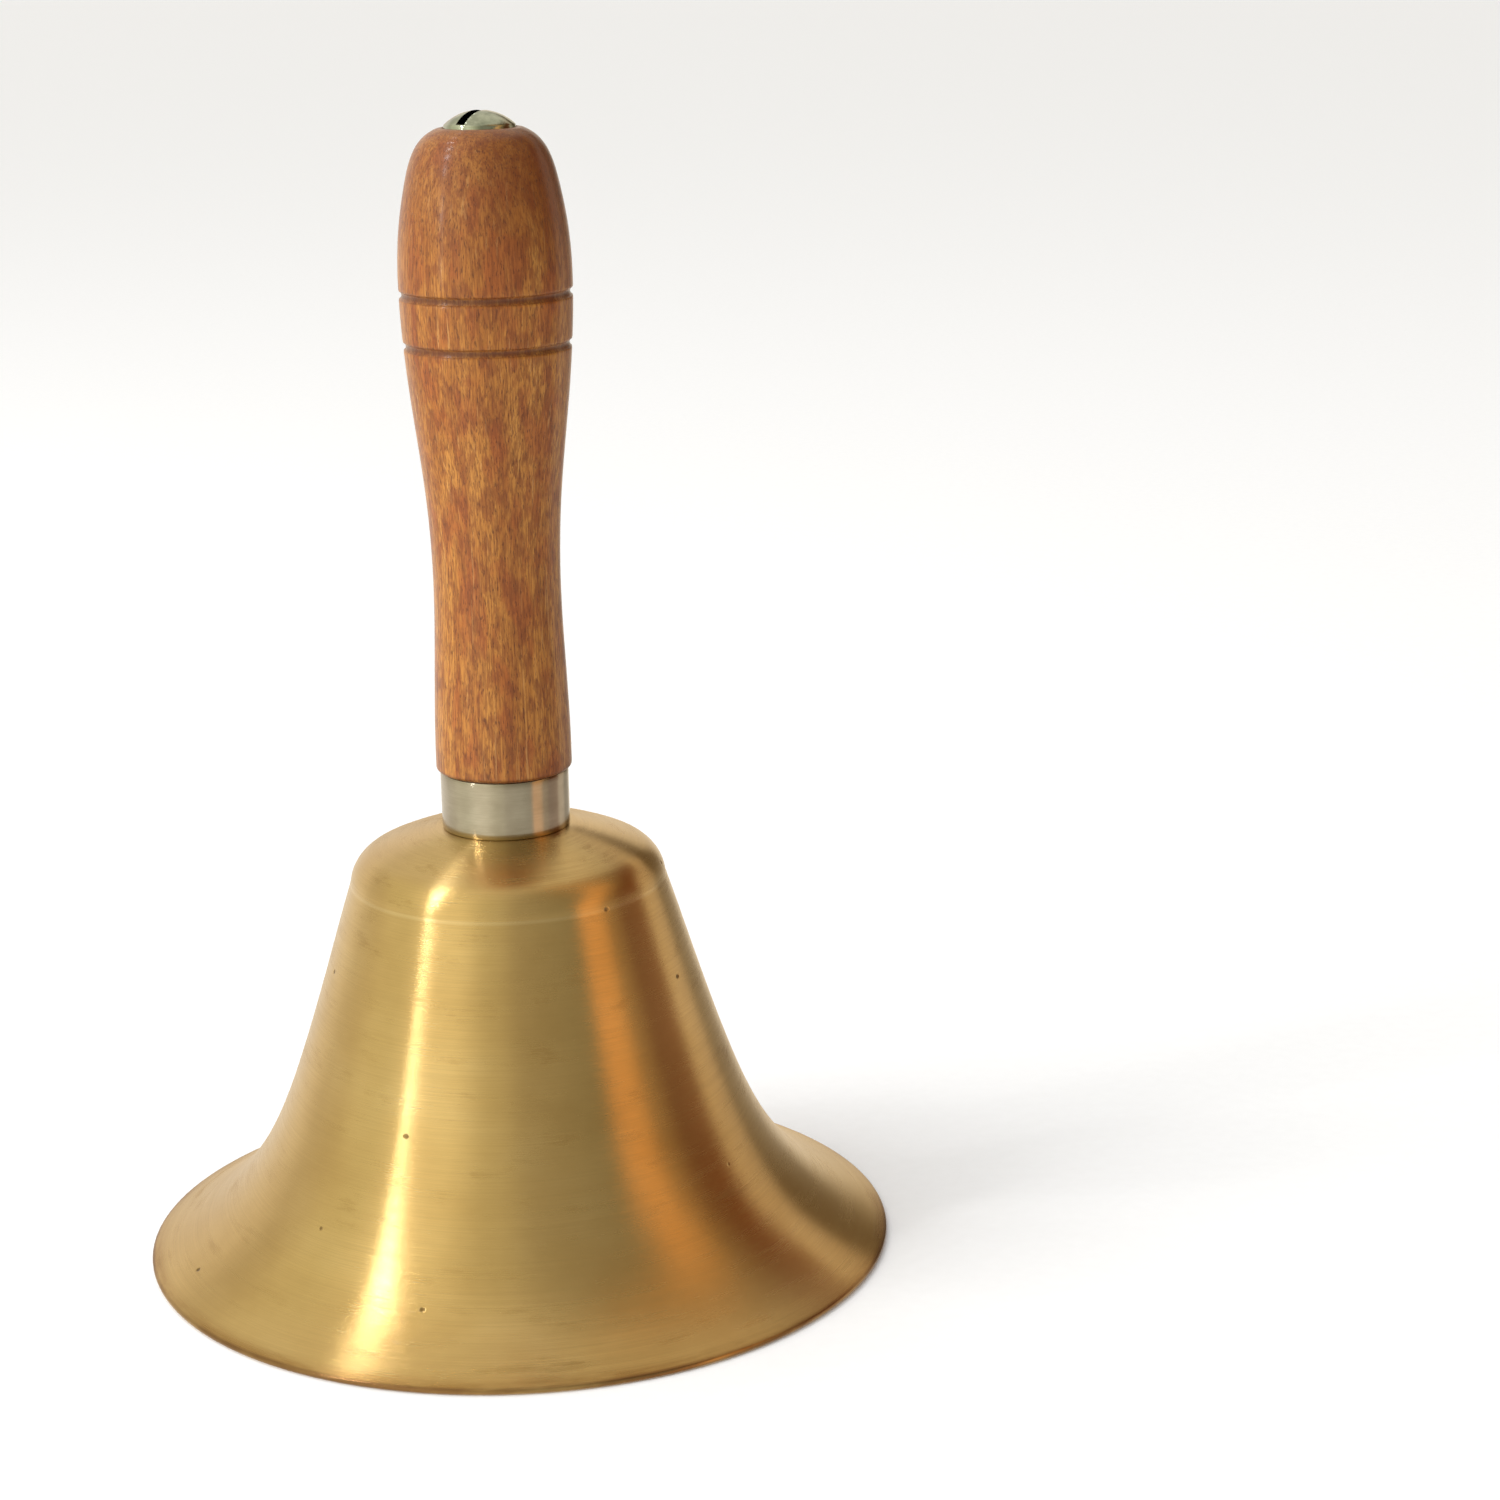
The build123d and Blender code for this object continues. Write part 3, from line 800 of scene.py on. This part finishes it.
def make_cap_nut():
    points, _ = seam_outline("cap_nut")
    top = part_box("cap_nut")[1].z
    outline = refined(np.vstack([points, [0.0, top]]), False, CAP_EDGE)
    piece = lathe("cap_nut_head", outline, False, [cap_plating()], SMALL_TURNED_STEPS)
    slot_top = top + CAP_SLOT_CLEAR
    slot_floor = top - CAP_SLOT_DEPTH
    slot_size = (CAP_SLOT_LENGTH, CAP_SLOT_WIDTH, slot_top - slot_floor)
    centre = Vector((0, 0, (slot_top + slot_floor) / 2))
    cutter = box_mesh("slot_cutter", slot_size, centre, CAP_SLOT_ANGLE)
    combine(piece, cutter, "DIFFERENCE", bevel=SLOT_EDGE)
    return piece


def make_eye_bolt():
    low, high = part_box("eye_bolt")
    washer_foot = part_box("crown_washer")[0].z
    foot = low.z + EYE_WIRE
    centre_z = foot + EYE_BEND
    half_straight = high.x - EYE_WIRE - EYE_BEND
    left, right = (-half_straight, centre_z), (half_straight, centre_z)
    path = [
        *arc(right, EYE_BEND, -math.pi / 2, math.pi / 2),
        *arc(left, EYE_BEND, math.pi / 2, 3 * math.pi / 2),
    ]
    material = eye_steel()
    eye = tube("eye_of_bolt", path, EYE_WIRE, [material], closed=True, sides=40)
    rod_foot = centre_z + EYE_BEND
    rod_ends = [(0.0, rod_foot), (0.0, washer_foot), (0.0, high.z)]
    rod = tube("eye_rod", rod_ends, EYE_ROD, [material], sides=40, end_round=ROD_EDGE)
    combine(eye, rod, "UNION")
    return eye


def make_upper_link():
    top = (0.0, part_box("upper_link")[1].z - LINK_WIRE - UPPER_TOP_BEND)
    foot = (0.0, joint_height("lower_link_swing") + UPPER_FOOT_BEND)
    long_leg = tangent_angle(foot, UPPER_FOOT_BEND, top, UPPER_TOP_BEND)
    short_leg = tangent_angle(top, UPPER_TOP_BEND, foot, UPPER_FOOT_BEND) + 2 * math.pi
    leg_start = round_point(foot, UPPER_FOOT_BEND, long_leg)
    path = [
        round_point(leg_start, UPPER_TAIL, long_leg - math.pi / 2),
        *arc(top, UPPER_TOP_BEND, long_leg, short_leg),
        *arc(foot, UPPER_FOOT_BEND, short_leg, UPPER_HOOK_ANGLE),
    ]
    link = tube("upper_wire_link", path, LINK_WIRE, [link_wire()], end_round=WIRE_EDGE)
    link.data.transform(Matrix.Rotation(math.pi / 2, 4, "Z"))
    return link


def make_lower_link():
    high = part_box("lower_link")[1]
    bar = joint_height("clapper_swing")
    half_bar = high.x - LINK_WIRE - LOWER_FOOT_BEND
    top = (0.0, high.z - LINK_WIRE - LOWER_TOP_BEND)
    left, right = (-half_bar, bar + LOWER_FOOT_BEND), (half_bar, bar + LOWER_FOOT_BEND)
    left_leg = tangent_angle(top, LOWER_TOP_BEND, left, LOWER_FOOT_BEND) + 2 * math.pi
    right_leg = tangent_angle(right, LOWER_FOOT_BEND, top, LOWER_TOP_BEND)
    path = [
        round_point(round_point(top, LOWER_TOP_BEND, left_leg), LOWER_TAIL, left_leg - math.pi / 2),
        *arc(left, LOWER_FOOT_BEND, left_leg, 3 * math.pi / 2),
        *arc(right, LOWER_FOOT_BEND, -math.pi / 2, right_leg),
        *arc(top, LOWER_TOP_BEND, right_leg, LOWER_CURL_ANGLE),
    ]
    return tube("lower_wire_link", path, LINK_WIRE, [link_wire()], end_round=WIRE_EDGE)


def make_clapper():
    low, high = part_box("clapper")
    ball_radius = high.x
    ball = (0.0, low.z + math.sqrt(ball_radius**2 - BALL_FLAT_RADIUS**2))
    neck_out = SHANK_RADIUS + NECK_FILLET
    neck = (neck_out, ball[1] + math.sqrt((ball_radius + NECK_FILLET) ** 2 - neck_out**2))
    neck_angle = math.atan2(neck[1] - ball[1], neck[0])
    head = (SHANK_RADIUS - SHANK_ROUND, high.z - SHANK_ROUND)
    ball_start = BALL_FLAT_TURN - math.acos(BALL_FLAT_RADIUS / ball_radius)
    outline = [
        np.array([0.0, low.z]),
        np.array([BALL_FLAT_RADIUS - BALL_FLAT_EDGE, low.z]),
        *arc(ball, ball_radius, ball_start, neck_angle, 48),
        *arc(neck, NECK_FILLET, neck_angle + math.pi, math.pi, 10),
        *arc(head, SHANK_ROUND, 0.0, math.pi / 2, 16),
        np.array([0.0, high.z]),
    ]
    piece = lathe("clapper_bob", np.array(outline), False, [clapper_iron()], SMALL_TURNED_STEPS)
    hole_z = joint_height("clapper_swing") + LINK_WIRE + LINK_PLAY - CROSS_HOLE_RADIUS
    drill_ends = [(-DRILL_REACH, hole_z), (DRILL_REACH, hole_z)]
    drill = tube("drill", drill_ends, CROSS_HOLE_RADIUS, [], sides=48)
    combine(piece, drill, "DIFFERENCE", bevel=HOLE_EDGE)
    return piece


def make_object():
    stand_in_for(make_bell(), "bell_body", "bell")
    ferrule = turned_node("ferrule", "ferrule_tube", [ferrule_metal()], SHELL_EDGE)
    stand_in_for(ferrule, "ferrule", "bell")
    handle = turned_node("handle", "handle_grip", [wood()], HANDLE_EDGE)
    stand_in_for(handle, "handle", "bell")
    stand_in_for(make_cap_nut(), "cap_nut", "bell")
    disc_material = washer_plating()
    washer = turned_node("crown_washer", "crown_disc", [disc_material], WASHER_EDGE, SMALL_TURNED_STEPS)
    stand_in_for(washer, "crown_washer", "bell")
    stand_in_for(make_eye_bolt(), "eye_bolt", "bell")
    stand_in_for(make_upper_link(), "upper_link", "upper_link")
    stand_in_for(make_lower_link(), "lower_link", "lower_link")
    stand_in_for(make_clapper(), "clapper", "clapper")


# ---------------------------------------------------------------- stage, light and camera

def make_floor():
    row = FLOOR_CELLS + 1
    steps = np.linspace(-FLOOR_REACH, FLOOR_REACH, row)
    verts = [(x, y, 0.0) for y in steps for x in steps]
    faces = [
        [j * row + i, j * row + i + 1, (j + 1) * row + i + 1, (j + 1) * row + i]
        for j in range(FLOOR_CELLS)
        for i in range(FLOOR_CELLS)
    ]
    floor = new_object("floor", verts, faces, [floor_paint()])
    floor.visible_glossy = False


def add_softbox(name, azimuth, elevation, distance, size, power, mirrored=True):
    """Area light aimed at the bell. Azimuth 0 is on the camera's side and 90 is to the right."""
    light = bpy.data.lights.new(name, "AREA")
    light.shape = "RECTANGLE"
    light.size, light.size_y = size
    light.energy = power
    a, e = math.radians(azimuth), math.radians(elevation)
    place = Vector((math.sin(a) * math.cos(e), -math.cos(a) * math.cos(e), math.sin(e))) * distance
    box = bpy.data.objects.new(name, light)
    box.location = Vector(LIGHT_AIM) + place
    box.rotation_euler = (-place).to_track_quat("-Z", "Y").to_euler()
    box.visible_camera = False
    box.visible_glossy = mirrored
    bpy.context.scene.collection.objects.link(box)


def add_key_lights():
    """A row of small lamps that all mirror near one upright plane through the bell's axis.

    On brushed metal turned about that axis they join into one streak from the crown to the rim.
    """
    pitch = math.radians(CAMERA_PITCH)
    to_camera = Vector((0.0, -math.cos(pitch), math.sin(pitch)))
    for number, (lean, compass, width, power) in enumerate(STREAK_LAMPS):
        tilt = math.radians(lean)
        turn = math.radians(compass)
        level = math.cos(tilt)
        mirror = Vector((math.sin(turn) * level, -math.cos(turn) * level, math.sin(tilt)))
        place = 2.0 * mirror.dot(to_camera) * mirror - to_camera
        azimuth = math.degrees(math.atan2(place.x, -place.y))
        elevation = math.degrees(math.asin(place.z))
        size = (width, STREAK_LAMP_HEIGHT)
        add_softbox(f"key_{number}", azimuth, elevation, STREAK_LAMP_DISTANCE, size, power)


def make_world():
    """Studio surroundings: white from the left for matt surfaces, and bands of tone for the metal.

    The bands go by compass angle, from behind the bell on the left, past the camera in the middle of
    the row, to behind it on the right. They spread as they rise, are shaded high on the right, fade
    to one tone overhead and blend with a paler one underfoot.
    """
    world = bpy.data.worlds.new("studio")
    world.use_nodes = True
    bpy.context.scene.world = world
    tree = world.node_tree
    tree.nodes.clear()

    def add(kind, inputs=(), **settings):
        node = tree.nodes.new(kind)
        for name, value in settings.items():
            setattr(node, name, value)
        for socket, value in inputs:
            if isinstance(value, bpy.types.NodeSocket):
                tree.links.new(value, node.inputs[socket])
            else:
                node.inputs[socket].default_value = value
        return node

    def maths(operation, a, b=0.0):
        return add("ShaderNodeMath", ((0, a), (1, b)), operation=operation).outputs[0]

    def ramp(value, low, high, to_low=0.0, to_high=1.0):
        names = ("Value", "From Min", "From Max", "To Min", "To Max")
        inputs = zip(names, (value, low, high, to_low, to_high))
        return add("ShaderNodeMapRange", inputs).outputs[0]

    def blend(share, a, b):
        node = add("ShaderNodeMix", (("Factor", share),), data_type="RGBA")
        first, second = [socket for socket in node.inputs if socket.type == "RGBA"]
        tree.links.new(a, first)
        second.default_value = (*b, 1.0)
        return next(socket for socket in node.outputs if socket.type == "RGBA")

    place = add("ShaderNodeTexCoord").outputs["Generated"]
    x, y, z = add("ShaderNodeSeparateXYZ", ((0, place),)).outputs
    angle = maths("ARCTAN2", x, maths("MULTIPLY", y, -1.0))
    turned = maths("MULTIPLY", angle, ramp(z, *BAND_SPREAD_RANGE, 1.0, 1.0 - BAND_SPREAD))
    bands = add("ShaderNodeValToRGB", ((0, ramp(turned, -math.pi, math.pi)),))
    elements = bands.color_ramp.elements
    while len(elements) < len(SURROUND_BANDS):
        elements.new(1.0)
    for element, (degrees, colour) in zip(elements, SURROUND_BANDS):
        element.position = (degrees + 180.0) / 360.0
        element.color = (*colour, 1.0)
    shade = ramp(z, *SHADE_RISE_RANGE, 0.0, SHADE_SHARE)
    high_right = maths("MULTIPLY", shade, ramp(x, *SHADE_SIDE_RANGE))
    tone = blend(high_right, bands.outputs[0], SHADE_TONE)
    rise = maths("ADD", z, maths("MULTIPLY", maths("MAXIMUM", y, 0.0), OVERHEAD_BACKWARD))
    rise = maths("ADD", rise, maths("MULTIPLY", maths("MAXIMUM", x, 0.0), OVERHEAD_SIDEWAYS))
    tone = blend(ramp(rise, *OVERHEAD_RANGE), tone, OVERHEAD_TONE)
    tone = blend(ramp(z, *UNDERFOOT_RANGE, 0.0, UNDERFOOT_SHARE), tone, UNDERFOOT_TONE)
    mirrored = add("ShaderNodeBackground", (("Color", tone), ("Strength", SURROUND_STRENGTH)))
    from_left = maths("SUBTRACT", 1.0, maths("MULTIPLY", x, MATT_FALL_OFF))
    matt_level = maths("MULTIPLY", from_left, MATT_LIGHT)
    path = add("ShaderNodeLightPath")
    shader = mirrored.outputs[0]
    for ray, level in (("Is Diffuse Ray", matt_level), ("Is Camera Ray", BACKDROP_LEVEL)):
        plain = add("ShaderNodeBackground", (("Color", (1.0, 1.0, 1.0, 1.0)), ("Strength", level)))
        choice = ((0, path.outputs[ray]), (1, shader), (2, plain.outputs[0]))
        shader = add("ShaderNodeMixShader", choice).outputs[0]
    add("ShaderNodeOutputWorld", (("Surface", shader),))


def make_camera():
    camera = bpy.data.cameras.new("camera")
    camera.lens = CAMERA_LENS_MM
    camera.sensor_width = SENSOR_MM
    camera.clip_start = CAMERA_CLIP_START
    piece = bpy.data.objects.new("camera", camera)
    tilt = Matrix.Rotation(math.radians(90.0 - CAMERA_PITCH), 4, "X")
    roll = Matrix.Rotation(math.radians(-CAMERA_ROLL), 4, "Z")
    piece.matrix_world = Matrix.Translation(CAMERA_PLACE) @ tilt @ roll
    bpy.context.scene.collection.objects.link(piece)
    bpy.context.scene.camera = piece


make_camera()
make_world()
make_floor()
add_key_lights()
add_softbox("fill_left", FILL_AZIMUTH, FILL_ELEVATION, FILL_DISTANCE, FILL_SIZE, FILL_POWER, mirrored=False)
bpy.context.scene.view_settings.view_transform = "Standard"
make_object()
